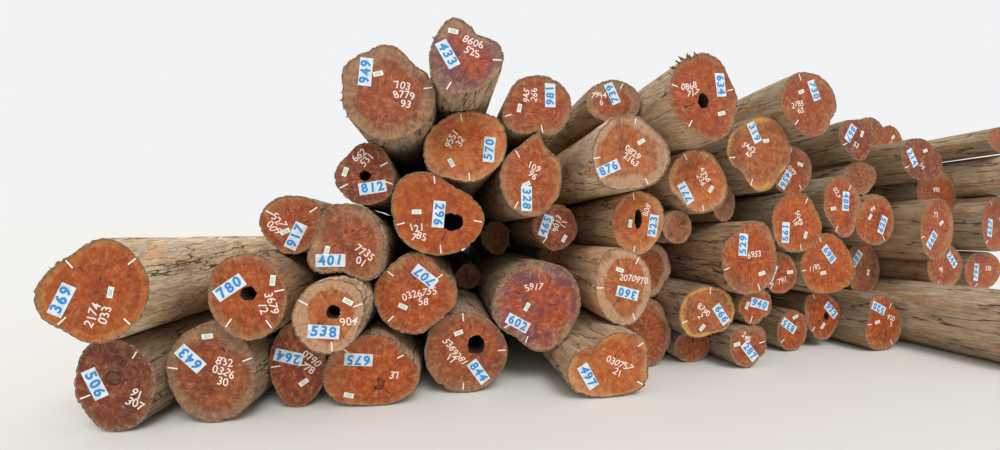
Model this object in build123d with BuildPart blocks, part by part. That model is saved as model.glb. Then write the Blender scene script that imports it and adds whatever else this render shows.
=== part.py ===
from build123d import *
import math
import os
from dataclasses import dataclass

import numpy as np

os.makedirs("parts", exist_ok=True)

# A heap of hardwood logs with their sawn ends in one uneven face.
# X runs along the face from left to right, Y along the logs away from the sawn face, Z up.
# All lengths are in millimetres.

# Sizes that all logs share
log_length = 5800
bark_gap = 0.4

# How far a log rolls sideways from where it is let down, in ever finer steps
roll_reach = 24
finest_roll = 0.05

# The two axes of a rim, as they stand in its points
level_axis = 0
upright_axis = 1

# Taper: every log narrows towards one far point on the ground, so logs that touch at the
# sawn face touch along their whole length
taper_run = 45000
taper_aim = 9100

# Flats that a barked stem's rim is rounded with
rim_points = 36

# Hollow hearts
hollow_depth = 1400


@dataclass
class Log:
    """One log, described at the sawn face."""

    width: float
    height: float
    x: float = None          # where it is let down, from the left end of the heap
    gap: float = None        # for the bottom row: room left beside the log before it
    sawn: float = 0          # how far the sawn end stands out of the face
    short: float = 0         # how much shorter the log is than the usual length
    turn: float = 0          # degrees, anticlockwise as seen from the sawn face
    lobes: tuple = ()        # buttresses and hollows of the rim: clock hour, bulge, spread in hours
    hollow: tuple = None     # hollow heart: across, up, width, height
    node: str = None         # name of the node, for logs that share one


# Bottom row, from left to right
bottom_row = {
    "log_02": Log(590, 700, gap=330, sawn=-30, lobes=((11, 50, 0.8), (7.5, -30, 0.9))),
    "log_03": Log(690, 790, gap=0, sawn=0, lobes=((4.3, 30, 1.0), (7.7, -35, 1.0))),
    "log_06": Log(470, 750, gap=0, sawn=-100),
    "log_09": Log(790, 640, gap=0, sawn=50,
                  lobes=((2, -70, 0.9), (4, 50, 0.8), (8, 50, 0.8), (11, -30, 0.9))),
    "log_16": Log(780, 760, gap=50, lobes=((1.3, -30, 0.9), (10.5, 22, 0.8)),
                  hollow=(90, 60, 180, 190)),
    "log_25": Log(780, 600, gap=480, sawn=450,
                  lobes=((10.7, -110, 1.2), (2, 60, 0.7), (4, 70, 0.7), (8, 30, 0.7))),
    "log_28": Log(610, 750, gap=40, sawn=-100, lobes=((2, -30, 0.8), (10.5, 45, 0.9))),
    "log_33": Log(480, 360, gap=80, sawn=-100),
    "log_35": Log(470, 460, gap=0, sawn=220,
                  lobes=((1.5, 35, 0.8), (4.6, -40, 0.8), (10.3, 40, 0.8))),
    "inner_1": Log(480, 760, gap=45, sawn=-900, short=900, node="inner_logs"),
    "log_39": Log(470, 510, gap=0, sawn=-80, lobes=((2, 30, 0.8),)),
    "log_56": Log(650, 680, gap=560, sawn=200,
                  lobes=((1.6, -80, 0.9), (7.5, 35, 0.8), (9.6, -45, 0.7), (11, 50, 0.6))),
    "log_60": Log(800, 800, gap=80, sawn=1200, lobes=((10, 20, 1.0),)),
    "inner_2": Log(650, 760, gap=0, sawn=-300, short=300, node="inner_logs"),
    "inner_3": Log(600, 660, gap=3, sawn=-450, short=450, node="inner_logs"),
}

# The logs above, in the order in which each comes to rest on those below
upper_logs = {
    "log_01": Log(790, 790, x=560, sawn=100,
                  lobes=((11, -100, 1.0), (7, -55, 0.8), (9.7, -40, 0.6))),
    "log_08": Log(550, 580, x=2230, sawn=300, lobes=((1.5, 30, 0.9), (4, -20, 0.9)),
                  hollow=(30, 35, 120, 120)),
    "log_04": Log(590, 690, x=1610, sawn=150,
                  lobes=((1.7, -15, 1.0), (7.5, -20, 1.0), (10.4, 18, 0.8)), hollow=(0, 25, 130, 120)),
    "log_15": Log(750, 740, x=2840, sawn=50,
                  lobes=((1.5, -75, 0.9), (4.6, -50, 0.9), (10.5, -30, 0.8))),
    "log_20": Log(900, 870, x=4010, sawn=50,
                  lobes=((7.2, -85, 0.9), (4, -30, 0.8), (1.4, 30, 0.8))),
    "log_24": Log(610, 750, x=4830, sawn=200, lobes=((11, 50, 0.8), (4.2, -20, 0.8))),
    "log_32": Log(700, 560, x=5870, sawn=150, lobes=((5.4, -40, 0.8), (7.6, 30, 0.8))),
    "log_30": Log(540, 650, x=5450, sawn=-300, lobes=((4.5, -50, 0.8),)),
    "log_34": Log(440, 380, x=6460, sawn=200,
                  lobes=((1.6, 30, 0.8), (4.7, -40, 0.8), (8, -30, 0.6))),
    "log_31": Log(690, 780, x=6300, sawn=300,
                  lobes=((11, -60, 0.8), (1, 40, 0.7), (7.5, 20, 0.8))),
    "log_29": Log(370, 370, x=5580),
    "log_36": Log(570, 490, x=6930, sawn=50, lobes=((7.5, -35, 0.9), (11, 20, 0.7))),
    "log_40": Log(590, 660, x=7890, sawn=-100, lobes=((1, -60, 0.8), (10.3, 50, 0.8), (4.6, -30, 0.8), (7.4, -30, 0.8)),
                  hollow=(60, -20, 90, 110)),
    "log_38": Log(870, 730, x=7670, sawn=100,
                  lobes=((2, -60, 1.0), (4, 30, 0.6), (10, -30, 0.7), (7.4, 20, 0.7))),
    "log_55": Log(660, 760, x=8720, sawn=-200, lobes=((7.5, -40, 0.9),)),
    "log_54": Log(750, 650, x=9670, sawn=150, lobes=((1.5, -45, 0.9), (10, -30, 0.8))),
    "log_59": Log(820, 520, x=10490, sawn=150, lobes=((8, 40, 0.8), (10, 30, 0.8))),
    "log_53": Log(620, 790, x=9200, sawn=300, turn=-17),
    "log_58": Log(790, 740, x=10460, sawn=300, lobes=((4.5, -40, 0.8), (7.5, 50, 0.8))),
    "inner_4": Log(340, 340, x=3380, sawn=-1300, short=1300, node="inner_logs"),
    "log_07": Log(610, 690, x=2290, sawn=100,
                  lobes=((4.6, 45, 0.7), (6.3, -110, 0.9), (8, 45, 0.7), (10, -40, 0.8), (11, 20, 0.6))),
    "log_05": Log(530, 520, x=1750, sawn=-150, lobes=((1.4, 30, 0.9), (7.8, -40, 1.0))),
    "log_12": Log(830, 750, x=3030, sawn=100,
                  lobes=((12.8, -85, 1.0), (2, -70, 0.9), (10.4, 70, 0.8)), hollow=(110, -80, 210, 170)),
    "inner_5": Log(280, 280, x=4420, sawn=-1000, short=1000, node="inner_logs"),
    "log_19": Log(510, 510, x=4300, sawn=-300, lobes=((7.5, -30, 0.9), (11, -25, 0.8))),
    "log_23": Log(610, 680, x=5140, lobes=((4.3, -30, 0.9), (1.7, 20, 0.8)), hollow=(0, 40, 90, 230)),
    "log_37": Log(730, 700, x=7120, sawn=150, lobes=((2, -50, 0.8), (7.5, 20, 0.8))),
    "log_43": Log(320, 450, x=6330, sawn=-100),
    "log_51": Log(660, 650, x=8480, sawn=100, lobes=((8, 35, 0.8), (10, -20, 0.6))),
    "log_50": Log(620, 770, x=7870, sawn=100,
                  lobes=((4, -60, 0.9), (7.4, -60, 0.9), (1, -40, 0.6))),
    "log_10": Log(530, 560, x=2420, sawn=-50,
                  lobes=((10.5, -55, 1.0), (2, -30, 0.7), (4.3, 20, 0.8)), hollow=(0, -20, 110, 95)),
    "inner_6": Log(400, 480, x=3820, sawn=-1500, short=1500, node="inner_logs"),
    "log_18": Log(610, 740, x=3900, sawn=50,
                  lobes=((12.3, 100, 0.3), (1.2, -20, 0.5), (11, -30, 0.7), (2, 25, 0.7))),
    "log_27": Log(730, 700, x=5790, sawn=100,
                  lobes=((2, -40, 0.9), (4, 30, 0.8), (7.5, -45, 0.9))),
    "inner_7": Log(300, 360, x=4660, sawn=-1200, short=1200, node="inner_logs"),
    "log_22": Log(840, 760, x=4920, sawn=250,
                  lobes=((1.5, -70, 1.0), (7.5, 65, 0.9), (10, -30, 1.0))),
    "log_52": Log(830, 660, x=9800, lobes=((1.7, 35, 0.8), (10, 20, 0.7))),
    "log_42": Log(610, 610, x=7250, sawn=-50, lobes=((7.5, 20, 0.8),)),
    "log_49": Log(570, 430, x=8310, lobes=((4, -35, 0.7), (2, 30, 0.7))),
    "log_61": Log(690, 560, x=10490, sawn=650),
    "log_14": Log(780, 670, x=3320,
                  lobes=((1.6, 40, 0.8), (4.3, -30, 0.9), (8, 40, 0.8), (10.5, -20, 0.8))),
    "log_41": Log(860, 860, x=6540, sawn=150,
                  lobes=((7.5, -110, 0.9), (4.5, -75, 0.8), (1.2, 40, 0.8), (11, -40, 0.7))),
    "log_48": Log(750, 540, x=9120, sawn=200,
                  lobes=((4, 50, 0.8), (1.7, -30, 0.8), (10.3, 30, 0.8))),
    "log_45": Log(590, 520, x=8220, sawn=50,
                  lobes=((1.5, 45, 0.8), (4, -40, 0.8), (7.6, -50, 0.9), (10.2, 40, 0.8))),
    "log_57": Log(620, 350, x=10360, sawn=350, node="top_right_logs"),
    "log_11": Log(770, 790, x=2630, sawn=200,
                  lobes=((1.3, -65, 0.8), (12, 20, 0.4), (10, 30, 0.7), (9.2, -20, 0.5))),
    "log_17": Log(700, 610, x=3975,
                  lobes=((6.1, -55, 0.45), (7.8, 50, 0.8), (5, 20, 0.6), (9.7, -30, 0.8))),
    "log_26": Log(770, 860, x=5630, sawn=400,
                  lobes=((2, -50, 0.7), (5, 40, 0.8), (7, -40, 0.7), (11.4, -25, 0.3)), hollow=(-10, -50, 130, 160)),
    "log_21": Log(660, 490, x=4920, sawn=-150, lobes=((10.5, -25, 0.9),)),
    "log_44": Log(800, 750, x=7170, sawn=250, lobes=((4, -50, 0.6), (7.5, -50, 0.8))),
    "log_46": Log(530, 420, x=9020, sawn=-300, node="top_right_logs"),
    "log_47": Log(570, 560, x=9530, sawn=-400, node="top_right_logs"),
    "log_13": Log(620, 600, x=3260, sawn=380,
                  lobes=((1, -80, 0.8), (7.2, 40, 0.9), (11.3, 50, 0.6), (4.5, -20, 0.9))),
}


def outline(log):
    """The rim of a log around its own middle: an ellipse with lobes, turned."""
    half_width = log.width / 2
    half_height = log.height / 2
    rim = []
    for step in range(rim_points):
        angle = 2 * math.pi * step / rim_points
        hour = (3 - 12 * step / rim_points) % 12
        radius = half_width * half_height / math.hypot(
            half_height * math.cos(angle), half_width * math.sin(angle))
        for lobe_hour, bulge, spread in log.lobes:
            away = (hour - lobe_hour + 6) % 12 - 6
            radius += bulge * math.exp(-((away / spread) ** 2))
        turned = angle + math.radians(log.turn)
        rim.append((radius * math.cos(turned), radius * math.sin(turned)))
    return np.array(rim)


def edge_at(rim, places, along, pick):
    """The highest or lowest reach of a rim over each place, measured across the axis `along`."""
    start = rim
    end = np.roll(rim, -1, axis=0)
    low = np.minimum(start[:, along], end[:, along])
    high = np.maximum(start[:, along], end[:, along])
    run = end[:, along] - start[:, along]
    run = np.where(np.abs(run) < 1e-9, 1e-9, run)
    share = np.clip((places[:, None] - start[None, :, along]) / run[None, :], 0, 1)
    reach = start[:, 1 - along] + share * (end - start)[:, 1 - along]
    inside = (places[:, None] >= low) & (places[:, None] <= high)
    missing = -np.inf if pick is np.max else np.inf
    return pick(np.where(inside, reach, missing), axis=1)


def clear_move(fixed, moved, along):
    """How far `moved` has to stand beyond `fixed` across the axis `along`, so that they touch."""
    low = max(fixed[:, along].min(), moved[:, along].min())
    high = min(fixed[:, along].max(), moved[:, along].max())
    if low >= high:
        return -np.inf
    places = np.concatenate([fixed[:, along], moved[:, along], [low, high]])
    places = places[(places >= low) & (places <= high)]
    far_side = edge_at(fixed, places, along, np.max)
    near_side = edge_at(moved, places, along, np.min)
    return (far_side - near_side).max()


def rest_height(rim, x, settled):
    """The height at which a rim let down at x comes to rest on the ground or on other logs."""
    moved = rim + (x, 0)
    height = -rim[:, 1].min()
    for other in settled:
        height = max(height, clear_move(other, moved, level_axis) + bark_gap)
    return height


def roll(rim, x, settled):
    """The lowest resting place that a rim let down at x reaches by rolling a little."""
    reach = roll_reach
    lowest = x
    while reach > finest_roll:
        reach /= 2
        tries = [lowest, lowest - reach, lowest + reach]
        lowest = min(tries, key=lambda place: rest_height(rim, place, settled))
    return lowest, rest_height(rim, lowest, settled)


def settle():
    """Lay the bottom row side by side, then let each of the other logs down on those below."""
    spots = {}
    settled = []
    for name, log in bottom_row.items():
        rim = outline(log)
        height = -rim[:, 1].min()
        x = log.gap - rim[:, 0].min()
        if settled:
            x = clear_move(settled[-1], rim + (0, height), upright_axis) + max(log.gap, bark_gap)
        spots[name] = (x, height)
        settled.append(rim + (x, height))
    for name, log in upper_logs.items():
        rim = outline(log)
        spots[name] = roll(rim, log.x, settled)
        settled.append(rim + spots[name])
    return spots


def log_solid(log, spot):
    """A tapered log with both ends sawn square to its own axis, and its hollow heart."""
    x, z = spot
    rim = outline(log) + spot
    far_point = Vector(taper_aim, taper_run, 0)
    heart = Vector(x, 0, z)
    axis = (far_point - heart).normalized()
    level = Vector(axis.Y, -axis.X, 0).normalized()

    def end_plane(y):
        return Plane(heart + axis * (y / axis.Y), x_dir=level, z_dir=-axis)

    def end_rim(plane):
        points = []
        for rim_x, rim_z in rim:
            start = Vector(rim_x, 0, rim_z)
            line = far_point - start
            reach = (plane.origin - start).dot(axis) / line.dot(axis)
            points.append(start + line * reach)
        return points

    near_plane = end_plane(-log.sawn)
    far_plane = end_plane(log_length - log.short - log.sawn)
    near = end_rim(near_plane)
    far = end_rim(far_plane)
    flats = [Face(Wire.make_polygon([near[i - 1], near[i], far[i], far[i - 1]])) for i in range(rim_points)]
    sawn_ends = [Face(Wire.make_polygon(near)), Face(Wire.make_polygon(far))]
    with BuildPart() as piece:
        add(Solid(Shell([*flats, *sawn_ends])))
        if log.hollow:
            across, up, hole_width, hole_height = log.hollow
            with BuildSketch(near_plane):
                with Locations((across, up)):
                    Ellipse(hole_width / 2, hole_height / 2)
            extrude(amount=-hollow_depth, mode=Mode.SUBTRACT)
    return piece.part


# Build every log where it rests, then put the origin under the middle of the heap
spots = settle()
nodes = {}
for name, log in {**bottom_row, **upper_logs}.items():
    nodes.setdefault(log.node or name, []).append(log_solid(log, spots[name]))
heap_box = Compound([solid for solids in nodes.values() for solid in solids]).bounding_box()
origin = Pos(-heap_box.center().X, -heap_box.center().Y, -heap_box.min.Z)
for name, solids in nodes.items():
    node = origin * (solids[0] if len(solids) == 1 else Compound(solids))
    node.label = name
    export_step(node, f"parts/{name}.step")
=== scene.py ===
import math
import random
from dataclasses import dataclass

import bpy
import bmesh
from mathutils import Matrix, Vector, noise


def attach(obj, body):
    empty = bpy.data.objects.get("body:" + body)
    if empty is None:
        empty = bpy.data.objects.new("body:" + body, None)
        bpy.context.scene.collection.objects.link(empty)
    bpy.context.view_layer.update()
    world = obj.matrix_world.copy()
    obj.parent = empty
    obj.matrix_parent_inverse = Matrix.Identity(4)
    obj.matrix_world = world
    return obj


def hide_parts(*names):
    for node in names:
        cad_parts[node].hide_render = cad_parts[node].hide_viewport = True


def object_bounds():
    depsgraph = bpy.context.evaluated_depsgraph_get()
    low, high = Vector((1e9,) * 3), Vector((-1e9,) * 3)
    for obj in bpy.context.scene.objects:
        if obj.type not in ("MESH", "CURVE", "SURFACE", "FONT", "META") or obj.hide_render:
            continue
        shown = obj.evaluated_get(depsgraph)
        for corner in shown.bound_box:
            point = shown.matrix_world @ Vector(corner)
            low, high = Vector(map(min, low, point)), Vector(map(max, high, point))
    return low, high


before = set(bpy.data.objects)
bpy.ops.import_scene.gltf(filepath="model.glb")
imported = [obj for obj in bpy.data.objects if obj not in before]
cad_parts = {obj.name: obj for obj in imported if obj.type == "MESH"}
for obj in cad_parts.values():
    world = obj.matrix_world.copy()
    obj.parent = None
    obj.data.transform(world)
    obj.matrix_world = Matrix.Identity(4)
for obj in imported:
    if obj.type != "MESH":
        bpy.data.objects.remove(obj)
cad_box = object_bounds()

# How finely a log is divided round and along, and its relief, in metres
round_cuts = 2
length_cuts = 36
# An edge longer than this runs along the log
long_edge = 2.5
# A face belongs to a sawn end where it faces along the log this squarely, this near to the outmost one
cap_facing = 0.9
cap_depth = 0.3
bark_thickness = (0.008, 0.020)
fissure_depth = 0.010
dent_depth = 0.018
rim_chip_depth = 0.009
# Repeats a metre of that relief, across and along the log: furrows 67 mm, dents 250 mm, chips 40 mm apart
furrow_repeats = (15, 2.2)
dent_repeats = (4, 0.9)
chip_repeats = 24
furrow_level = 0.15
# The part of a log's length at each end that is chipped
chipped_share = 0.05
# The saw's cut lies behind the edge of the bark, on vertices this near to the end
saw_reach = 0.05
saw_recess = 0.0045
saw_waver = 0.0015
saw_waver_repeats = 6
hollow_reach = 0.55
hollow_rings = 7
# The hollow's mouth is this share of the hollow in the solid, and this much more or less by turns
mouth_share = 0.92
mouth_jag = 0.16
jag_repeats = 2.2
# Each ring of its wall draws in by the first share, and by up to the second more or less
wall_draw = 0.03
wall_wander = 0.10
wall_repeats = 9
mean_radius = 0.35
merge_gap = 1e-5
# A sawn end is carried inwards from the rim in bands, as shares of the way from the middle
near_bands = (0.88, 0.78, 0.66, 0.54, 0.42, 0.30, 0.15)
far_bands = (0.62, 0.30)
near_bark_step = 0.03
far_bark_step = 0.05
# Places of the materials that every log has: bark, cut bark, and rotten wood that is also painted shade
bark_slot = 0
cut_slot = 1
hollow_slot = 2
# What each vertex of a log tells its materials
vertex_values = ("tone", "sap_share", "shade", "dark_bark", "knot")
# Wood, paper, chalk and plastic all bend light about this much
common_ior = 1.45

# Marks on the ends, in metres
label_size = (0.235, 0.105)
tag_size = (0.082, 0.040)
bar_size = (0.052, 0.0032)
bar_step = 0.009
bar_lift = 0.0028
tick_size = (0.075, 0.011)
tick_inset = 0.02
rim_margin = 0.028
# A mark that doesn't lie on the wood is moved to this share of its distance from the middle, again and again
drawn_in = 0.95
most_draws = 40
mark_lift = 0.0012
number_lift = 0.0028
number_half_thickness = 0.0003
number_curve_steps = 3
# The font's size against the height of its digits
font_size_share = 1.4
label_number_height = 0.078
label_number_step = 0.068
label_number_boldness = 0.004
chalk_height = 0.064
chalk_number_step = 0.044
chalk_line_step = 0.074
chalk_line_shift = 0.02
chalk_boldness = 0.0008


@dataclass
class End:
    """What a log's sawn end shows. Places are metres across and up from the middle, then degrees turned."""
    finish: str
    label: tuple = None
    tag: tuple = None
    chalk: tuple = None
    digits: tuple = ()          # how many on each line of chalk
    ticks: tuple = ()           # degrees round the end where a strip of paint is
    sap: float = 0.10           # how much of the radius is sapwood
    heart: tuple = (0.0, 0.0)   # the pith, in metres across and up from the middle
    shade: float = 1.0          # lightness of the sawn wood
    dark_bark: float = 0.35     # above 0 darkens the bark, below 0 pales it: partly its own colour, partly painted shade and painted light
    knot: float = 0.0           # 1 where a dark ring knot shows at the heart


ends = {
    "log_01": End("bright_orange", (-0.21, -0.06, 65), (0.11, -0.01, 80), (0.03, -0.18, 75), (4, 3),
                  ticks=(40, 130, 225, 315), sap=0.03, shade=0.88, heart=(0.03, 0.0), dark_bark=-0.5),
    "log_02": End("dark_red", label=(-0.17, 0.02, -65), chalk=(0.13, -0.10, -25), digits=(2, 3),
                  ticks=(60, 200), shade=0.84, heart=(-0.02, 0.05), dark_bark=0.6, knot=1.0),
    "log_03": End("red_brown", (-0.18, 0.14, -45), (-0.03, 0.29, 5), (0.07, 0.01, -20), (3, 4, 2),
                  ticks=(20, 170), sap=0.24, shade=0.87, heart=(-0.02, 0.03), dark_bark=0.5),
    "log_04": End("red_orange", (-0.165, 0.085, 35), (0.21, 0.14, 85), (0.14, -0.07, -75), (4, 2),
                  ticks=(10, 235, 305), shade=0.88, dark_bark=0.5),
    "log_05": End("red_orange", (0.04, -0.11, 65), (-0.05, -0.06, 25), (-0.16, 0.01, -45), (3, 3),
                  ticks=(35, 150), shade=0.92, heart=(0.02, -0.03)),
    "log_06": End("dark_red", (-0.20, 0.17, -15), (0.05, -0.16, 35), (0.12, 0.01, -40), (4, 3),
                  ticks=(185,), sap=0.03, shade=1.05),
    "log_07": End("red_brown", (-0.18, -0.18, 0), (-0.17, -0.06, 75), (0.11, -0.11, -35), (4, 2),
                  sap=0.16, heart=(-0.02, 0.03)),
    "log_08": End("grey_sap", (-0.04, -0.12, -5), (0.14, 0.11, -30), (0.155, -0.05, 10), (3,),
                  ticks=(20, 150, 275), sap=0.42, dark_bark=0.1),
    "log_09": End("red_orange", (-0.11, 0.10, -5), (-0.19, -0.20, -15), (0.19, -0.05, 5), (2,),
                  ticks=(25, 140), sap=0.05, heart=(0.05, -0.12), dark_bark=0.4, knot=1.0),
    "log_10": End("dark_red", (0.06, -0.115, 10), (-0.17, 0.02, 70), (-0.03, 0.16, 45), (3, 3),
                  ticks=(30, 210, 340)),
    "log_11": End("red_brown", (-0.22, 0.21, 85), (-0.08, 0.16, 15), (0.11, -0.01, -5), (3, 4, 2),
                  ticks=(10,), sap=0.22, heart=(0.02, -0.06), shade=0.95, dark_bark=0.45),
    "log_12": End("bright_orange", (0.01, 0.00, 85), (-0.18, 0.02, 0), (-0.18, -0.16, 0), (3, 3),
                  ticks=(95, 195, 275, 350), sap=0.05, shade=0.9),
    "log_13": End("purple_stain", (-0.18, 0.03, -60), (-0.10, 0.22, -10), (0.05, 0.10, -20), (4, 3),
                  ticks=(0, 240), sap=0.18, heart=(0.03, -0.02), shade=0.94, dark_bark=0.1),
    "log_14": End("tan", (0.21, -0.02, 85), (-0.14, -0.15, -60), (-0.10, 0.05, 60), (4, 2),
                  ticks=(100, 275), heart=(0.0, -0.02), shade=1.06),
    "log_15": End("red_orange", (0.08, 0.15, -40), (-0.11, -0.11, -25), (0.04, -0.04, 10), (7, 2),
                  ticks=(35, 140, 225), sap=0.05),
    "log_16": End("red_brown", (0.12, -0.20, -55), (-0.07, 0.18, 20), (-0.13, -0.02, -50), (7, 2),
                  ticks=(0, 95, 265), sap=0.04),
    "log_17": End("red_orange", (0.14, 0.12, 90), (-0.18, -0.03, 80), (-0.07, 0.09, 85), (3, 3),
                  ticks=(200, 280), shade=0.88, heart=(0.04, -0.07), dark_bark=0.1),
    "log_18": End("red_orange", (-0.06, -0.24, 90), (-0.05, -0.06, 25), (0.01, 0.07, -25), (3, 2),
                  ticks=(120, 240), heart=(0.01, -0.05), shade=0.95, dark_bark=0.2),
    "log_19": End("dark_red", (-0.18, 0.03, 70), (0.10, -0.12, 60), (0.02, 0.02, 70), (3, 4, 2),
                  ticks=(230,)),
    "log_20": End("purple_stain", (-0.20, -0.15, -30), (-0.11, 0.00, 60), (-0.04, 0.19, 5), (4,),
                  ticks=(210, 250), sap=0.16, shade=1.10, heart=(0.05, 0.02), dark_bark=0.5),
    "log_21": End("red_brown", label=(-0.01, 0.10, -65), chalk=(-0.16, 0.02, 5), digits=(4, 1),
                  ticks=(60, 300), heart=(-0.03, -0.06), sap=0.38),
    "log_22": End("grey_sap", (-0.26, -0.18, 25), (0.11, 0.11, 30), (0.00, -0.03, -30), (4, 4),
                  ticks=(80, 190, 300), sap=0.30, heart=(-0.08, 0.02), shade=0.95, dark_bark=-0.9),
    "log_23": End("tan", (0.21, -0.04, 80), (-0.09, -0.01, 80), (0.10, 0.13, 65), (3,),
                  ticks=(100, 260), sap=0.05, dark_bark=-0.4),
    "log_24": End("grey_sap", (0.04, -0.06, -15), (-0.04, 0.17, -20), (0.12, 0.08, -10), (7,),
                  ticks=(60, 180, 290), sap=0.30, heart=(0.02, 0.02), dark_bark=-0.9),
    "log_25": End("tan", label=(-0.20, -0.08, -60), chalk=(0.08, -0.02, -25), digits=(6, 2),
                  ticks=(30, 330), dark_bark=0.15),
    "log_26": End("red_orange", (0.21, 0.14, -85), (0.19, -0.16, 15), (-0.15, 0.05, 15), (4, 3),
                  ticks=(15, 165, 240), shade=0.9, dark_bark=-0.1),
    "log_27": End("tan", (-0.17, -0.14, -60), (0.15, -0.08, 55), (0.05, 0.05, -55), (4, 3),
                  ticks=(120, 280), sap=0.12, heart=(-0.07, 0.06), dark_bark=0.1),
    "log_28": End("red_brown"),
    "log_29": End("plain_brown"),
    "log_30": End("grey_sap", sap=0.30),
    "log_31": End("red_orange", (-0.09, 0.17, 85), (0.15, -0.16, 15), (0.06, 0.04, 5), (4,),
                  ticks=(200, 290), shade=1.02),
    "log_32": End("yellow_rim", (0.17, -0.04, -55), (-0.06, -0.17, 45), (-0.07, -0.01, -45), (4, 1),
                  ticks=(80, 200), sap=0.18, heart=(0.02, -0.07), dark_bark=0.7),
    "log_33": End("red_brown"),
    "log_34": End("red_orange", label=(0.08, 0.04, -15), tag=(-0.10, 0.02, 65), ticks=(250,)),
    "log_35": End("red_brown", (0.03, -0.08, -50), (-0.14, 0.03, 10), (-0.02, 0.10, -35), (3,),
                  ticks=(10,), dark_bark=0.7),
    "log_36": End("red_orange", (-0.12, -0.02, 65), (0.17, 0.00, 5), (0.06, -0.10, 15), (3,),
                  ticks=(100, 240), dark_bark=0.8),
    "log_37": End("bright_orange", (-0.16, -0.11, 85), (0.12, -0.14, 70), (0.00, 0.04, -65), (4, 2),
                  ticks=(60, 280), dark_bark=0.85),
    "log_38": End("bright_orange", (0.02, 0.12, -50), (-0.07, -0.10, 10), (-0.20, -0.04, 15), (4,),
                  ticks=(110, 190)),
    "log_39": End("red_orange", label=(-0.05, 0.06, -35), tag=(0.05, 0.16, 20),
                  ticks=(220,), dark_bark=0.6),
    "log_40": End("red_orange", label=(0.14, 0.05, -45), tag=(0.01, -0.14, 50),
                  ticks=(120, 230), dark_bark=0.6),
    "log_41": End("yellow_rim", (-0.07, 0.25, -65), (0.09, 0.14, 10), (-0.15, 0.02, -20), (4, 2),
                  ticks=(190, 250), heart=(-0.13, -0.03), shade=0.95, dark_bark=0.6),
    "log_42": End("red_orange", (-0.12, -0.14, 55), (0.13, 0.07, -20), (0.00, -0.01, -40), (3,),
                  ticks=(90, 300)),
    "log_43": End("plain_brown"),
    "log_44": End("red_orange", (0.08, 0.16, -70), (-0.10, 0.13, 20), (-0.15, -0.05, 15), (4, 2),
                  ticks=(110, 230), shade=0.88, dark_bark=0.4),
    "log_45": End("dark_red", (-0.10, 0.07, 55), (0.09, 0.07, 65), (-0.02, -0.08, -30), (2,),
                  ticks=(200,), dark_bark=0.65),
    "log_46": End("red_brown", tag=(0.00, 0.05, 15)),
    "log_47": End("red_orange", tag=(0.08, 0.10, 40), chalk=(0.03, 0.00, 10), digits=(2,)),
    "log_48": End("dark_red", (-0.17, 0.02, -60), (0.08, 0.12, 15), (0.00, -0.08, -50), (2,),
                  ticks=(200,), dark_bark=0.7),
    "log_49": End("plain_brown"),
    "log_50": End("red_orange", (0.06, 0.06, 85), (-0.14, -0.03, 10), (-0.08, 0.16, -65), (3,),
                  ticks=(60, 250), dark_bark=0.55),
    "log_51": End("red_orange", (0.12, -0.06, 65), (-0.09, 0.04, 50), (-0.04, 0.14, 20), (2,),
                  ticks=(300,)),
    "log_52": End("red_brown", chalk=(0.00, 0.05, 10), digits=(3,)),
    "log_53": End("red_orange", (-0.10, -0.13, 50), (0.09, 0.08, 30), (-0.01, 0.18, 5), (2,),
                  ticks=(200,)),
    "log_54": End("red_orange", (0.15, 0.06, -50), (-0.05, 0.14, 5), (-0.08, -0.06, -20), (2,),
                  ticks=(100, 240)),
    "log_55": End("plain_brown", label=(-0.10, 0.14, 50), tag=(0.11, -0.05, 75)),
    "log_56": End("red_orange", (-0.08, 0.19, -25), (-0.10, 0.02, 10), (0.12, 0.02, -15), (3, 1),
                  ticks=(60, 180, 300), dark_bark=0.6),
    "log_57": End("red_brown"),
    "log_58": End("red_orange", label=(-0.20, -0.05, 80), chalk=(0.10, 0.05, 10), digits=(4,),
                  ticks=(120, 220), dark_bark=0.3),
    "log_59": End("red_orange", label=(-0.16, -0.02, 80), chalk=(0.12, 0.02, 0), digits=(3,),
                  ticks=(230,)),
    "log_60": End("bright_orange", (-0.12, 0.14, 10), (0.18, 0.10, 20), (0.02, -0.08, -15), (4, 2),
                  ticks=(40, 150, 270), dark_bark=0.15),
    "log_61": End("red_brown", dark_bark=0.15),
}
hidden_end = End("plain_brown")
# The solids of the node at the top right, from left to right
top_right_ends = [ends["log_46"], ends["log_47"], ends["log_57"]]


# Colours and nodes

def colour(hex_code):
    """An sRGB hex colour as the linear colour that shaders take."""
    parts = [int(hex_code[i:i + 2], 16) / 255 for i in (0, 2, 4)]
    linear = [c / 12.92 if c <= 0.04045 else ((c + 0.055) / 1.055) ** 2.4 for c in parts]
    return (*linear, 1)


def add(tree, kind, inputs=None, **settings):
    """A node with its settings and inputs: values, sockets, or nodes, which stand for their first output."""
    made = tree.nodes.new(kind)
    for name, value in settings.items():
        setattr(made, name, value)
    for name, value in (inputs or {}).items():
        if isinstance(value, bpy.types.Node):
            value = value.outputs[0]
        if isinstance(value, bpy.types.NodeSocket):
            tree.links.new(value, made.inputs[name])
        else:
            made.inputs[name].default_value = value
    return made


def new_material(name):
    """A material, its empty tree, and the place on the piece, in metres."""
    made = bpy.data.materials.new(name)
    made.use_nodes = True
    tree = made.node_tree
    tree.nodes.clear()
    return made, tree, add(tree, "ShaderNodeTexCoord").outputs["Object"]


def off_level(tree, pattern, level):
    """How far a pattern is from one of its levels: near 0 along thin wandering lines."""
    apart = add(tree, "ShaderNodeMath", {0: pattern, 1: level}, operation="SUBTRACT")
    return add(tree, "ShaderNodeMath", {0: apart}, operation="ABSOLUTE")


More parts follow.
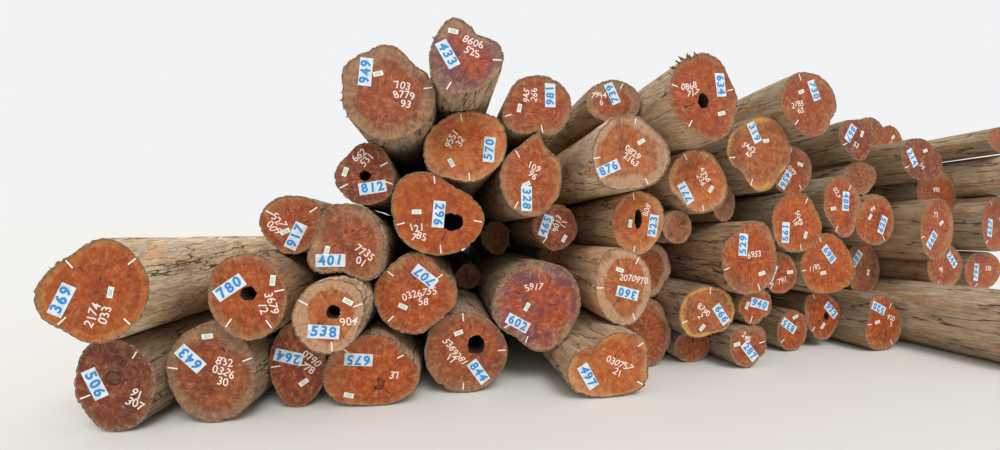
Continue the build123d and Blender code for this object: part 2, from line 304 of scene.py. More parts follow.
def layered(tree, base, layers):
    """A colour with others laid over it, each by a pattern: its start, where it is full, amount and hex."""
    for pattern, start, full, amount, hex_code in layers:
        share = add(tree, "ShaderNodeMapRange",
                    {"Value": pattern, "From Min": start, "From Max": full, "To Max": amount})
        mixed = add(tree, "ShaderNodeMix", {0: share, 6: base, 7: colour(hex_code)}, data_type="RGBA")
        base = mixed.outputs[2]
    return base


def set_surface(tree, shown, roughness, relief, depth, strength):
    """The colour shown, the roughness, and relief `depth` metres deep, added up from patterns by weight."""
    height = 0.0
    for pattern, weight in relief:
        height = add(tree, "ShaderNodeMath", {0: pattern, 1: weight, 2: height}, operation="MULTIPLY_ADD")
    raised = add(tree, "ShaderNodeBump", {"Height": height, "Distance": depth, "Strength": strength})
    shader = add(tree, "ShaderNodeBsdfPrincipled",
                 {"Base Color": shown, "Roughness": roughness, "IOR": common_ior, "Normal": raised})
    add(tree, "ShaderNodeOutputMaterial", {"Surface": shader})


def make_bark():
    """Hardwood bark, dried and scuffed by chains: grey and tan patches with long dark cracks."""
    made, tree, place = new_material("hardwood_bark_dried")
    tone, dark = (add(tree, "ShaderNodeAttribute", attribute_name=each).outputs["Fac"]
                  for each in ("tone", "dark_bark"))
    # Each pattern's width round the log and length along it, in metres, its detail and its roughness
    sizes = (
        # Furrows stand about 45 mm apart and run half a metre before they close
        (0.045, 0.500, 4.0, 0.60),
        # Drying cracks run a metre and more; they are drawn wider than the 5 mm they are, so that they show
        (0.20, 1.70, 4.0, 0.55),
        # Corky pits are 6 mm wide and are drawn twice as wide, so that they show
        (0.012, 0.026, 4.0, 0.70),
        # Patches of bleached and of damp bark, a hand wide
        (0.13, 0.30, 5.0, 0.62),
        # Greyer fields, as wide as the log
        (0.40, 0.90, 3.0, 0.55),
        # Places where a chain has scuffed the outer bark off, 150 mm wide
        (0.15, 0.55, 5.0, 0.65))
    furrows, cracks, pits, patches, broad, scuffs = (
        add(tree, "ShaderNodeTexNoise", {
            "Vector": add(tree, "ShaderNodeMapping",
                          {"Vector": place, "Scale": (1 / wide, 1 / long, 1 / wide)}),
            "Scale": 1.0, "Detail": detail, "Roughness": rough})
        for wide, long, detail, rough in sizes)
    plate, crack, scuffed = (
        add(tree, "ShaderNodeMapRange", {"Value": value, "From Min": start, "From Max": full})
        for value, start, full in ((off_level(tree, furrows, 0.5), 0.0, 0.05),
                                   (off_level(tree, cracks, 0.5), 0.010, 0.003), (scuffs, 0.58, 0.61)))
    base = layered(tree, colour("a3866a"), (
        (pits, 0.32, 0.68, 1.0, "d6bb95"),
        (patches, 0.44, 0.62, 0.65, "dcc8a6"),
        (patches, 0.46, 0.34, 0.55, "83654b"),
        (broad, 0.46, 0.62, 0.45, "a59888"),
        (tone, 0.40, 1.0, 0.55, "b07c50"),
        (scuffed, 0.0, 1.0, 0.70, "c0905e"),
        # Darker along the furrows and near-black in the cracks: painted shade inside them
        (plate, 1.0, 0.0, 0.35, "66492f"),
        (crack, 0.0, 1.0, 0.85, "2f221a"),
        (dark, 0.0, 1.0, 0.45, "6d4b34")))
    # The per-log darkening and paling of the bark, here and in the last layer above, is partly its own
    # colour: painted shade on flanks in shadow, painted light on flanks in their neighbours' shade
    lightness = add(tree, "ShaderNodeMath", {0: dark, 1: -0.45, 2: 1.08}, operation="MULTIPLY_ADD")
    shown = add(tree, "ShaderNodeHueSaturation", {"Value": lightness, "Color": base})
    relief = ((plate, 0.5), (pits, 0.6), (patches, 0.8), (crack, -1.0), (scuffed, -0.4))
    set_surface(tree, shown, 0.9, relief, 0.009, 0.9)
    return made


def make_end_grain(name, heart, middle, outer, sap, stain, stain_share):
    """Hardwood sawn across with a chain saw, still wet: heartwood in patches, rings, rays and checks."""
    made, tree, place = new_material(f"hardwood_end_grain_{name}_sawn")
    spot = add(tree, "ShaderNodeAttribute", attribute_name="end_place").outputs["Vector"]
    across, up, share = add(tree, "ShaderNodeSeparateXYZ", {"Vector": spot}).outputs
    sap_share, tone, shade, knot = (
        add(tree, "ShaderNodeAttribute", attribute_name=each).outputs["Fac"]
        for each in ("sap_share", "tone", "shade", "knot"))
    flat = add(tree, "ShaderNodeCombineXYZ", {"X": across, "Y": up})
    distance = add(tree, "ShaderNodeVectorMath", {0: flat}, operation="LENGTH").outputs["Value"]
    direction = add(tree, "ShaderNodeVectorMath", {0: flat}, operation="NORMALIZE")

    # Patterns in the wood, as repeats a metre, detail and roughness: the rings waver every 200 mm, fields
    # are 385 mm wide, wet blotches 140 mm, smudges of sawdust 45 mm, gaps in checks 110 mm, stains 295 mm
    waver, broad, blotch, smudge, gaps, stained = (
        add(tree, "ShaderNodeTexNoise",
            {"Vector": place, "Scale": repeats, "Detail": detail, "Roughness": rough})
        for repeats, detail, rough in ((5.0, 3.0, 0.5), (2.6, 3.0, 0.55), (7.0, 4.0, 0.6),
                                       (22.0, 4.0, 0.65), (9.0, 2.0, 0.5), (3.4, 4.0, 0.6)))
    waver_off, broad_off = (
        add(tree, "ShaderNodeMath", {0: each, 1: 0.5}, operation="SUBTRACT") for each in (waver, broad))

    # Rings are 2 to 4 mm wide in the wood; bands of them are drawn about 20 mm wide, so that they show
    growth = add(tree, "ShaderNodeMath", {0: waver, 1: 0.20, 2: share}, operation="MULTIPLY_ADD")
    ring_place = add(tree, "ShaderNodeVectorMath",
                     {0: add(tree, "ShaderNodeCombineXYZ", {"X": growth, "Y": tone}), 1: (17, 50, 0)},
                     operation="MULTIPLY")
    bands = add(tree, "ShaderNodeTexNoise",
                {"Vector": ring_place, "Scale": 1.0, "Detail": 3.0, "Roughness": 0.7})

    # Rays and checks follow the direction from the heart, so their patterns hardly change along it
    own = add(tree, "ShaderNodeMath", {0: tone, 1: 90.0}, operation="MULTIPLY")
    spoked = []
    for fineness, drift, detail, rough in ((13.0, 7.0, 5.0, 0.65), (1.7, 0.8, 2.0, 0.6)):
        outwards = add(tree, "ShaderNodeMath", {0: distance, 1: drift, 2: own}, operation="MULTIPLY_ADD")
        moved = add(tree, "ShaderNodeCombineXYZ", {"Z": outwards})
        spokes = add(tree, "ShaderNodeVectorMath", {0: direction, 1: (fineness,) * 3, 2: moved},
                     operation="MULTIPLY_ADD")
        spoked.append(add(tree, "ShaderNodeTexNoise",
                          {"Vector": spokes, "Scale": 1.0, "Detail": detail, "Roughness": rough}))
    rays, split = spoked
    # A check is narrower further out, and there are none near the rim
    beyond = add(tree, "ShaderNodeMath", {0: distance, 1: 0.03}, operation="ADD")
    width = add(tree, "ShaderNodeMath", {0: 0.0008, 1: beyond}, operation="DIVIDE")
    cut = add(tree, "ShaderNodeMath", {0: split, 1: 0.5, 2: width}, operation="COMPARE")
    inside = add(tree, "ShaderNodeMapRange", {"Value": share, "From Min": 0.85, "From Max": 0.55})
    allowed = add(tree, "ShaderNodeMapRange",
                  {"Value": gaps, "From Min": 0.42, "From Max": 0.50, "To Max": inside})
    checks = add(tree, "ShaderNodeMath", {0: cut, 1: allowed}, operation="MULTIPLY")

    # A ring knot is a grown-in branch, sawn across: a dark band about 90 mm across, and darker wood in it
    knot_reach = add(tree, "ShaderNodeMath", {0: waver_off, 1: 0.06, 2: distance}, operation="MULTIPLY_ADD")
    ring, knot_wood = (
        add(tree, "ShaderNodeMapRange",
            {"Value": value, "From Min": start, "From Max": full, "To Max": knot})
        for value, start, full in ((off_level(tree, knot_reach, 0.042), 0.013, 0.004),
                                   (knot_reach, 0.050, 0.030)))

    # Saw scratches are 6 mm apart and run nearly across the end
    swing = add(tree, "ShaderNodeMath", {0: tone, 1: 3.0}, operation="MULTIPLY")
    swept = add(tree, "ShaderNodeVectorRotate", {"Vector": flat, "Angle": swing}, rotation_type="Z_AXIS")
    sweep = add(tree, "ShaderNodeMapping", {"Vector": swept, "Scale": (1 / 0.006, 1 / 0.35, 1 / 0.006)})
    scratches = add(tree, "ShaderNodeTexNoise",
                    {"Vector": sweep, "Scale": 1.0, "Detail": 3.0, "Roughness": 0.6})

    # Heartwood fades outwards by patches, with a darker band where it ends and the sapwood outside
    reach = add(tree, "ShaderNodeMath", {0: share, 1: broad_off}, operation="ADD")
    blotched = add(tree, "ShaderNodeMapRange", {"Value": blotch, "From Min": 0.38, "From Max": 0.52})
    off_border = off_level(tree, reach, 0.72)
    border = add(tree, "ShaderNodeMapRange",
                 {"Value": off_border, "From Min": 0.13, "From Max": 0.02, "To Max": blotched})
    sap_reach = add(tree, "ShaderNodeMath", {0: broad_off, 1: 0.85, 2: share}, operation="MULTIPLY_ADD")
    sap_edge = add(tree, "ShaderNodeMath", {0: sap_reach, 1: sap_share}, operation="ADD")
    base = layered(tree, colour(heart), (
        (blotch, 0.36, 0.62, 1.0, middle),
        (reach, 0.55, 0.95, 1.0, outer),
        (border, 0.0, 1.0, 0.30 + 0.55 * stain_share, stain),
        (sap_edge, 0.98, 1.05, 0.85, sap),
        (stained, 0.62 - 0.20 * stain_share, 0.72 - 0.18 * stain_share, 0.70, stain),
        (smudge, 0.50, 0.70, 0.45, "d29a6c"),
        (smudge, 0.46, 0.30, 0.45, "69301b"),
        (bands, 0.50, 0.34, 0.28, "6a3019"),
        (bands, 0.54, 0.70, 0.20, "d09a6c"),
        (rays, 0.50, 0.30, 0.42, "5f2a17"),
        (rays, 0.56, 0.78, 0.36, "dfaa7c"),
        (scratches, 0.48, 0.30, 0.28, "5f2a17"),
        (scratches, 0.54, 0.74, 0.22, "dfae84"),
        (knot_wood, 0.0, 1.0, 0.55, "5a2c1a"),
        (ring, 0.0, 1.0, 0.80, "27120a"),
        # Checks are near-black: painted shade inside the splits
        (checks, 0.0, 1.0, 0.88, "24110a")))
    shown = add(tree, "ShaderNodeHueSaturation", {"Value": shade, "Saturation": 1.06, "Color": base})
    relief = ((scratches, 0.5), (rays, 0.6), (smudge, 0.5), (checks, -1.0), (ring, -1.0))
    set_surface(tree, shown, 0.6, relief, 0.003, 0.7)
    return made


def make_bark_edge():
    """The bark cut through at a log's end: a thin dark band, fibrous and grey-brown."""
    made, tree, place = new_material("hardwood_bark_cut")
    # Fibres are 2 mm thick and are drawn 17 mm wide, so that they show
    fibres = add(tree, "ShaderNodeTexNoise",
                 {"Vector": place, "Scale": 60.0, "Detail": 3.0, "Roughness": 0.6})
    shown = layered(tree, colour("4c382b"), ((fibres, 0.35, 0.65, 1.0, "9a7b5f"),))
    set_surface(tree, shown, 0.9, ((fibres, 1.0),), 0.004, 0.8)
    return made


def make_rotten_heart():
    """Wood rotted away at the heart: crumbling and damp, and nearly black as painted shade deep in the
    hollow.
    """
    made, tree, place = new_material("hardwood_rotten_heart_and_shade")
    # Crumbs of rotten wood are 25 mm across
    crumbs = add(tree, "ShaderNodeTexNoise",
                 {"Vector": place, "Scale": 40.0, "Detail": 4.0, "Roughness": 0.65})
    shown = layered(tree, colour("1d120d"), ((crumbs, 0.35, 0.65, 1.0, "4a3021"),))
    set_surface(tree, shown, 0.95, ((crumbs, 1.0),), 0.01, 1.0)
    return made


def make_paper():
    """Label paper, glued on wet wood: off-white, cockled and a little soiled."""
    made, tree, place = new_material("paper_label_printed_white")
    # Soiled patches are 55 mm wide, and the paper cockles every 22 mm
    soil = add(tree, "ShaderNodeTexNoise",
               {"Vector": place, "Scale": 18.0, "Detail": 3.0, "Roughness": 0.6})
    cockles = add(tree, "ShaderNodeTexNoise",
                  {"Vector": place, "Scale": 45.0, "Detail": 2.0, "Roughness": 0.5})
    shown = layered(tree, colour("d3e1e8"), ((soil, 0.45, 0.75, 1.0, "b9b9b4"),))
    set_surface(tree, shown, 0.7, ((cockles, 1.0),), 0.002, 0.5)
    return made


def make_paint(name, hex_code, worn_code, wear, roughness):
    """A mark laid on rough wood, thin where the wood's grain stands up through it."""
    made, tree, place = new_material(name)
    # Wood fibres stand up every 4.5 mm
    grit = add(tree, "ShaderNodeTexNoise",
               {"Vector": place, "Scale": 220.0, "Detail": 2.0, "Roughness": 0.6})
    shown = layered(tree, colour(hex_code), ((grit, 0.5, 0.7, wear, worn_code),))
    set_surface(tree, shown, roughness, ((grit, 1.0),), 0.001, 0.4)
    return made


# Heart, middle, outer, sapwood and stain colours, and how much of the end is stained
finishes = {
    "bright_orange": ("963808", "b04f1a", "ae5824", "a3703f", "742d16", 0.1),
    "red_orange": ("963a18", "a84f24", "a05c36", "97704e", "6e2a1e", 0.3),
    "red_brown": ("8a3b20", "984e2e", "8d6045", "8c6e54", "61291f", 0.4),
    "dark_red": ("6e2414", "823620", "7c3d25", "7a4c38", "4c201b", 0.5),
    "purple_stain": ("9a4024", "a5492f", "8a5a46", "937860", "573344", 0.8),
    "grey_sap": ("9a4a26", "ae6a40", "ae7f57", "b59578", "743626", 0.35),
    "tan": ("a84a22", "ba6f3e", "b87a4c", "b98a60", "7f3a22", 0.35),
    "yellow_rim": ("9a4c28", "a8633a", "a56b42", "cb9a4e", "6b3524", 0.5),
    "plain_brown": ("80492f", "92593b", "8a6649", "8f7356", "613323", 0.3),
}
bark = make_bark()
bark_edge = make_bark_edge()
rotten_heart_and_shade = make_rotten_heart()
end_grain = {name: make_end_grain(name, *codes) for name, codes in finishes.items()}


# Logs

def loose_solids(node):
    """The separate solids of a CAD node, as lists of vertices of one merged copy of its mesh."""
    mesh = bmesh.new()
    mesh.from_mesh(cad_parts[node].data)
    bmesh.ops.remove_doubles(mesh, verts=mesh.verts, dist=merge_gap)
    mesh.normal_update()
    left = set(mesh.verts)
    solids = []
    while left:
        reach = [left.pop()]
        solid = []
        while reach:
            vertex = reach.pop()
            solid.append(vertex)
            for edge in vertex.link_edges:
                other = edge.other_vert(vertex)
                if other in left:
                    left.remove(other)
                    reach.append(other)
        solids.append(solid)
    return mesh, solids


def in_order(points, middle):
    """Points of a rim in order round its middle, as seen from the front."""
    return sorted(points, key=lambda p: math.atan2(p.z - middle.z, p.x - middle.x))


def cap_rims(solid, facing):
    """The outer rim of a sawn end and the mouth of its hollow: facing is -1 for near, 1 for far."""
    edges = {e for v in solid for e in v.link_edges}
    flat = {f for e in edges for f in e.link_faces if f.normal.y * facing > cap_facing}
    outmost = max(f.calc_center_median().y * facing for f in flat)
    cap = {f for f in flat if f.calc_center_median().y * facing > outmost - cap_depth}
    middle = sum((f.calc_center_median() for f in cap), Vector()) / len(cap)
    outer, mouth = set(), set()
    for edge in edges:
        sides = [f for f in edge.link_faces if f not in cap]
        if len(edge.link_faces) - len(sides) != 1 or len(sides) != 1:
            continue
        centre = (edge.verts[0].co + edge.verts[1].co) / 2
        outward = sides[0].normal.dot(centre - middle) > 0
        (outer if outward else mouth).update(edge.verts)
    return [v.co.copy() for v in outer], [v.co.copy() for v in mouth]


def read_log(solid):
    """The near and far rims of a log and its hollow, if it has one: its middle and half sizes."""
    near, mouth = cap_rims(solid, -1)
    far, _ = cap_rims(solid, 1)
    near_middle = sum(near, Vector()) / len(near)
    far_middle = sum(far, Vector()) / len(far)
    near = in_order(near, near_middle)
    far = in_order(far, far_middle)
    starts = range(len(far))
    shift = min(starts, key=lambda s: sum(
        ((near[i] - near_middle) - (far[(i + s) % len(far)] - far_middle)).length for i in starts))
    far = far[shift:] + far[:shift]
    hollow = None
    if mouth:
        lo = Vector([min(p[i] for p in mouth) for i in range(3)])
        hi = Vector([max(p[i] for p in mouth) for i in range(3)])
        hollow = ((lo + hi) / 2, (hi - lo) / 2)
    return near, far, near_middle, far_middle, hollow


def bark_relief(point, ends_away):
    """How far the bark lies below the log's outline: furrows, broad dents and chips at the ends."""
    across, along = furrow_repeats
    furrow = noise.noise(Vector((point.x * across, point.y * along, point.z * across)))
    across, along = dent_repeats
    elsewhere = Vector((7, 3, 5))
    broad = noise.noise(Vector((point.x * across, point.y * along, point.z * across)) + elsewhere)
    chip = noise.noise(point * chip_repeats) if ends_away < chipped_share else 0
    furrow_share = max(0, furrow_level - abs(furrow)) / furrow_level
    return fissure_depth * furrow_share + dent_depth * max(0, broad) + rim_chip_depth * max(0, chip)


def recess(point):
    """How far the sawn wood lies behind the edge of the bark."""
    return saw_recess + saw_waver * noise.noise(point * saw_waver_repeats)


def new_part(made, kind):
    """The elements of one kind among what an operator made."""
    return [g for g in made if isinstance(g, kind)]


def add_band(mesh, edges, slot):
    """One new band of faces on open edges: its vertices and its own open edges."""
    made = bmesh.ops.extrude_edge_only(mesh, edges=edges)["geom"]
    verts = new_part(made, bmesh.types.BMVert)
    fresh = set(verts)
    for face in new_part(made, bmesh.types.BMFace):
        face.material_index = slot
    return verts, [e for e in new_part(made, bmesh.types.BMEdge) if fresh.issuperset(e.verts)]


def close_end(mesh, rim_edges, pith, target, shares, slot):
    """Carry a rim inwards in bands, cut bark first and then wood, to the pith or to the hollow's mouth."""
    place_layer = mesh.verts.layers.float_vector["end_place"]
    rim = {v: v.co.copy() for e in rim_edges for v in e.verts}
    origin = dict(zip(rim, rim))
    edges = list(rim_edges)
    for share in shares:
        verts, edges = add_band(mesh, edges, cut_slot if share == shares[0] else slot)
        step = {}
        for vertex in verts:
            source = next(o for o in (e.other_vert(vertex) for e in vertex.link_edges) if o in origin)
            first = origin[source]
            step[vertex] = first
            vertex.co = target(rim[first]).lerp(rim[first], share)
            vertex[place_layer] = Vector((vertex.co.x - pith.x, vertex.co.z - pith.z, max(share, 0.001)))
        origin = step
    return edges


def fill_heart(mesh, edges, pith, slot):
    """Close the last band in one point."""
    verts, _ = add_band(mesh, edges, slot)
    bmesh.ops.pointmerge(mesh, verts=verts, merge_co=pith)


def to_point(place):
    """Every point of a rim goes to one place."""
    def straight(point):
        return place
    return straight


def hollow_mouth(mouth, half_size, normal, ragged):
    """Where each point of a rim goes on the jagged mouth of the hollow."""
    def jagged(point):
        away = point - mouth
        turn = math.atan2(away.z / half_size.z, away.x / half_size.x)
        round_mouth = Vector((math.cos(turn) * jag_repeats, math.sin(turn) * jag_repeats, ragged))
        jag = mouth_share + mouth_jag * noise.noise(round_mouth)
        reach = Vector((math.cos(turn) * half_size.x * jag, 0, math.sin(turn) * half_size.z * jag))
        return mouth + reach - normal * reach.dot(normal)
    return jagged


def sink_hollow(mesh, edges, mouth, normal):
    """The walls of the hollow, which wander and close on crumbled wood inside, dark as painted shade."""
    drift = normal * (hollow_reach / hollow_rings)
    for ring in range(hollow_rings):
        verts, edges = add_band(mesh, edges, hollow_slot)
        core = mouth + drift * (ring + 1)
        for vertex in verts:
            vertex.co += drift
            draw = wall_draw + wall_wander * noise.noise(vertex.co * wall_repeats)
            vertex.co += (core - vertex.co) * draw
    fill_heart(mesh, edges, mouth + drift * hollow_rings, hollow_slot)


def end_axes(normal):
    """Level and upward directions on a sawn end, and the direction out of it."""
    out = -normal
    level = Vector((0, 0, 1)).cross(out).normalized()
    return level, out.cross(level), out


def build_log(mesh, solid, end, tone, bark_share, slot):
    """One log from the rims of its solid: bark, two sawn ends and the hollow heart."""
    near, far, near_middle, far_middle, hollow = read_log(solid)
    before = set(mesh.verts)
    near_verts = [mesh.verts.new(p) for p in near]
    near_edges = [mesh.edges.new(pair) for pair in zip(near_verts[1:] + near_verts[:1], near_verts)]
    far_verts, far_edges = add_band(mesh, near_edges, bark_slot)
    far_place = dict(zip(near_verts, far))
    for vertex in far_verts:
        source = next(o for o in (e.other_vert(vertex) for e in vertex.link_edges) if o in far_place)
        vertex.co = far_place[source]
    bmesh.ops.subdivide_edges(mesh, edges=near_edges + far_edges, cuts=round_cuts, use_grid_fill=True)
    mine = [v for v in mesh.verts if v not in before]
    along = {e for v in mine for e in v.link_edges if abs(e.verts[0].co.y - e.verts[1].co.y) > long_edge}
    bmesh.ops.subdivide_edges(mesh, edges=list(along), cuts=length_cuts, use_grid_fill=True)
    mine = [v for v in mesh.verts if v not in before]
    axis = far_middle - near_middle
    normal = axis.normalized()
    for vertex in mine:
        share = (vertex.co - near_middle).dot(axis) / axis.length_squared
        inward = (near_middle + axis * share) - vertex.co
        vertex.co += inward.normalized() * bark_relief(vertex.co, min(share, 1 - share))
    open_edges = {e for v in mine for e in v.link_edges if len(e.link_faces) == 1}
    half = (near_middle.y + far_middle.y) / 2
    near_rim = [e for e in open_edges if e.verts[0].co.y < half]
    far_rim = [e for e in open_edges if e.verts[0].co.y > half]
    for edge in open_edges:
        edge.smooth = False

    level, upward, _ = end_axes(normal)
    if hollow:
        pith, half_size = hollow
        target = hollow_mouth(pith, half_size, normal, tone * 20)
    else:
        pith = near_middle + level * end.heart[0] + upward * end.heart[1]
        target = to_point(pith)
    shares = (bark_share, bark_share - near_bark_step, *near_bands)
    edges = close_end(mesh, near_rim, pith, target, shares, slot)
    if hollow:
        verts, edges = add_band(mesh, edges, slot)
        for vertex in verts:
            vertex.co = target(vertex.co)
        sink_hollow(mesh, edges, pith, normal)
    else:
        fill_heart(mesh, edges, pith, slot)
    shares = (bark_share, bark_share - far_bark_step, *far_bands)
    edges = close_end(mesh, far_rim, far_middle, to_point(far_middle), shares, slot)
    fill_heart(mesh, edges, far_middle, slot)

    values = dict(zip(vertex_values, (tone, end.sap, end.shade, end.dark_bark, end.knot)))
    place_layer = mesh.verts.layers.float_vector["end_place"]
    for vertex in [v for v in mesh.verts if v not in before]:
        for name, value in values.items():
            vertex[mesh.verts.layers.float[name]] = value
        from_near = (vertex.co - near_middle).dot(normal)
        from_far = (far_middle - vertex.co).dot(normal)
        off_end = min(abs(from_near), abs(from_far))
        wood_share = vertex[place_layer].z
        in_bands = 0 < wood_share < bark_share - 0.01
        at_heart = wood_share == 0 and off_end < 1e-4 and all(
            f.material_index >= hollow_slot for f in vertex.link_faces)
        if off_end < saw_reach and (in_bands or at_heart):
            into = normal if from_near < from_far else -normal
            vertex.co += into * recess(vertex.co)
    return near_middle, normal, near


seen_ends = []
seeded = random.Random(7)
for node in sorted(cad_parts):
    copy, solids = loose_solids(node)
    solids.sort(key=lambda solid: min(v.co.x for v in solid))
    if node == "inner_logs":
        node_ends = [hidden_end] * len(solids)
    elif node == "top_right_logs":
        node_ends = top_right_ends
    else:
        node_ends = [ends[node]]
    mesh = bmesh.new()
    mesh.verts.layers.float_vector.new("end_place")
    for name in vertex_values:
        mesh.verts.layers.float.new(name)
    used = [bark, bark_edge, rotten_heart_and_shade]
    for solid, end in zip(solids, node_ends):
        if end_grain[end.finish] not in used:
            used.append(end_grain[end.finish])
        slot = used.index(end_grain[end.finish])
        tone = seeded.random()
        bark_share = 1 - seeded.uniform(*bark_thickness) / mean_radius
        middle, normal, rim = build_log(mesh, solid, end, tone, bark_share, slot)
        seen_ends.append((node, end, middle, normal, rim))
    copy.free()
    bmesh.ops.recalc_face_normals(mesh, faces=mesh.faces)
    for face in mesh.faces:
        face.smooth = True
    data = bpy.data.meshes.new(f"{node}_sawn")
    mesh.to_mesh(data)
    mesh.free()
    piece = bpy.data.objects.new(f"{node}_sawn", data)
    bpy.context.scene.collection.objects.link(piece)
    for each in used:
        data.materials.append(each)
    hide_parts(node)
    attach(piece, "root")


# Labels, tags, ticks and numbers on the sawn ends

def end_matrix(middle, normal, across, up, turn):
    """Where a mark lies on a sawn end: its x runs along the mark and its z stands off the wood."""
    level, upward, out = end_axes(normal)
    basis = Matrix((level, upward, out)).transposed().to_4x4()
    spot = middle + level * across + upward * up
    return Matrix.Translation(spot) @ basis @ Matrix.Rotation(math.radians(turn), 4, "Z")


def press_on(verts, matrix, lift):
    """Carry flat vertices to their place and press them onto the sawn wood, `lift` off it."""
    out = (matrix.to_3x3() @ Vector((0, 0, 1))).normalized()
    for vertex in verts:
        foot = matrix @ Vector((vertex.co.x, vertex.co.y, 0))
        vertex.co = foot + out * (vertex.co.z + lift - recess(foot))


def add_number(mesh, text, height, step, boldness, matrix, jitter, lift):
    """A number drawn by hand, one digit after another, none quite level: jitter 1 is careless."""
    for place, digit in enumerate(text):
        curve = bpy.data.curves.new("digit", "FONT")
        curve.body = digit
        curve.size = height * font_size_share
        curve.offset = boldness
        curve.align_x = "CENTER"
        curve.align_y = "CENTER"
        curve.extrude = number_half_thickness
        curve.resolution_u = number_curve_steps
        holder = bpy.data.objects.new("digit", curve)
        data = bpy.data.meshes.new_from_object(holder)
        bpy.data.objects.remove(holder)
        bpy.data.curves.remove(curve)
        lean = Matrix.Rotation(jitter * marking.uniform(-0.35, 0.35), 4, "Z")
        shear = Matrix.Identity(4)
        shear[0][1] = jitter * marking.uniform(-0.2, 0.3)
        across = (place - (len(text) - 1) / 2) * step
        off_line = jitter * marking.uniform(-0.12, 0.12) * height
        data.transform(Matrix.Translation((across, off_line, 0)) @ lean @ shear)
        before = set(mesh.verts)
        mesh.from_mesh(data)
        bpy.data.meshes.remove(data)
        fresh = [v for v in mesh.verts if v not in before]
        bmesh.ops.remove_doubles(mesh, verts=fresh, dist=merge_gap)
        press_on([v for v in mesh.verts if v not in before], matrix, lift)


def add_sheet(mesh, size, matrix, seed, cockle, thickness, lift=mark_lift):
    """A thin sheet with a slightly cockled surface and closed edges."""
    before = set(mesh.verts)
    verts = bmesh.ops.create_grid(mesh, x_segments=8, y_segments=4, size=0.5)["verts"]
    bmesh.ops.scale(mesh, vec=(size[0], size[1], 1), verts=verts)
    for vertex in verts:
        vertex.co.z = cockle * (0.5 + 0.5 * noise.noise(Vector((vertex.co.x * 16, vertex.co.y * 16, seed))))
    faces = list({f for v in verts for f in v.link_faces})
    bmesh.ops.solidify(mesh, geom=faces, thickness=-thickness)
    press_on([v for v in mesh.verts if v not in before], matrix, lift)


def kept_on(rim, middle, normal, size, across, up, turn):
    """A mark's place, drawn towards the middle until its corners lie on the wood."""
    level, upward, _ = end_axes(normal)
    edge = [(math.atan2(v, u), math.hypot(u, v)) for u, v in (
        ((p - middle).dot(level), (p - middle).dot(upward)) for p in rim)]
    cos, sin = math.cos(math.radians(turn)), math.sin(math.radians(turn))
    half = [(x * size[0] / 2, y * size[1] / 2) for x in (-1, 0, 1) for y in (-1, 1)]
    for _ in range(most_draws):
        off = False
        for x, y in half:
            u, v = across + x * cos - y * sin, up + x * sin + y * cos
            angle = math.atan2(v, u)
            near = sorted(edge, key=lambda e: abs(math.remainder(e[0] - angle, math.tau)))[:2]
            off = off or math.hypot(u, v) > min(e[1] for e in near) - rim_margin
        if not off:
            break
        across, up = across * drawn_in, up * drawn_in
    return across, up, turn


marking = random.Random(11)
labels, label_numbers, tags, tag_bars, chalk, ticks = (bmesh.new() for _ in range(6))
for count, (_, end, middle, normal, rim) in enumerate(seen_ends):
    if end.label:
        matrix = end_matrix(middle, normal, *kept_on(rim, middle, normal, label_size, *end.label))
        add_sheet(labels, label_size, matrix, count, cockle=0.0012, thickness=0.0005)
        # A made-up number of three digits; every third label was glued on upside down
        text = str(200 + (count * 137) % 790)
        if count % 3 == 0:
            matrix = matrix @ Matrix.Rotation(math.pi, 4, "Z")
        add_number(label_numbers, text, label_number_height, label_number_step, label_number_boldness,
                   matrix, jitter=0.35, lift=number_lift)
    if end.tag:
        matrix = end_matrix(middle, normal, *kept_on(rim, middle, normal, tag_size, *end.tag))
        add_sheet(tags, tag_size, matrix, count, cockle=0.0004, thickness=0.0010)
        for bar in (-1, 0, 1):
            bar_matrix = matrix @ Matrix.Translation((0, bar_step * bar, 0))
            add_sheet(tag_bars, bar_size, bar_matrix, count, cockle=0.0, thickness=0.0003, lift=bar_lift)
    if end.digits:
        written = (chalk_number_step * max(end.digits), chalk_line_step * len(end.digits))
        chalk_place = kept_on(rim, middle, normal, written, *end.chalk)
    for line, length in enumerate(end.digits):
        text = "".join(str(marking.randrange(10)) for _ in range(length))
        drop = (line - (len(end.digits) - 1) / 2) * chalk_line_step
        line_place = Matrix.Translation((chalk_line_shift * line, -drop, 0))
        matrix = end_matrix(middle, normal, *chalk_place) @ line_place
        add_number(chalk, text, chalk_height, chalk_number_step, chalk_boldness,
                   matrix, jitter=1.0, lift=mark_lift)
    for angle in end.ticks:
        direction = Vector((math.cos(math.radians(angle)), 0, math.sin(math.radians(angle))))
        reach = (min(rim, key=lambda p: (p - middle).angle(direction)) - middle).length
        place = reach - tick_size[0] / 2 - tick_inset
        matrix = end_matrix(middle, normal, direction.x * place, direction.z * place, angle)
        add_sheet(ticks, tick_size, matrix, count + angle, cockle=0.0008, thickness=0.0006)


# Torn bark standing up at the ends, and its splinters in metres
splinter_radius = (0.010, 0.026)
splinter_tip = 0.003
splinter_sunk = 0.022
splinter_shortest = 0.012
splinter_back = (0.004, 0.05)
splinter_flatness = 0.3
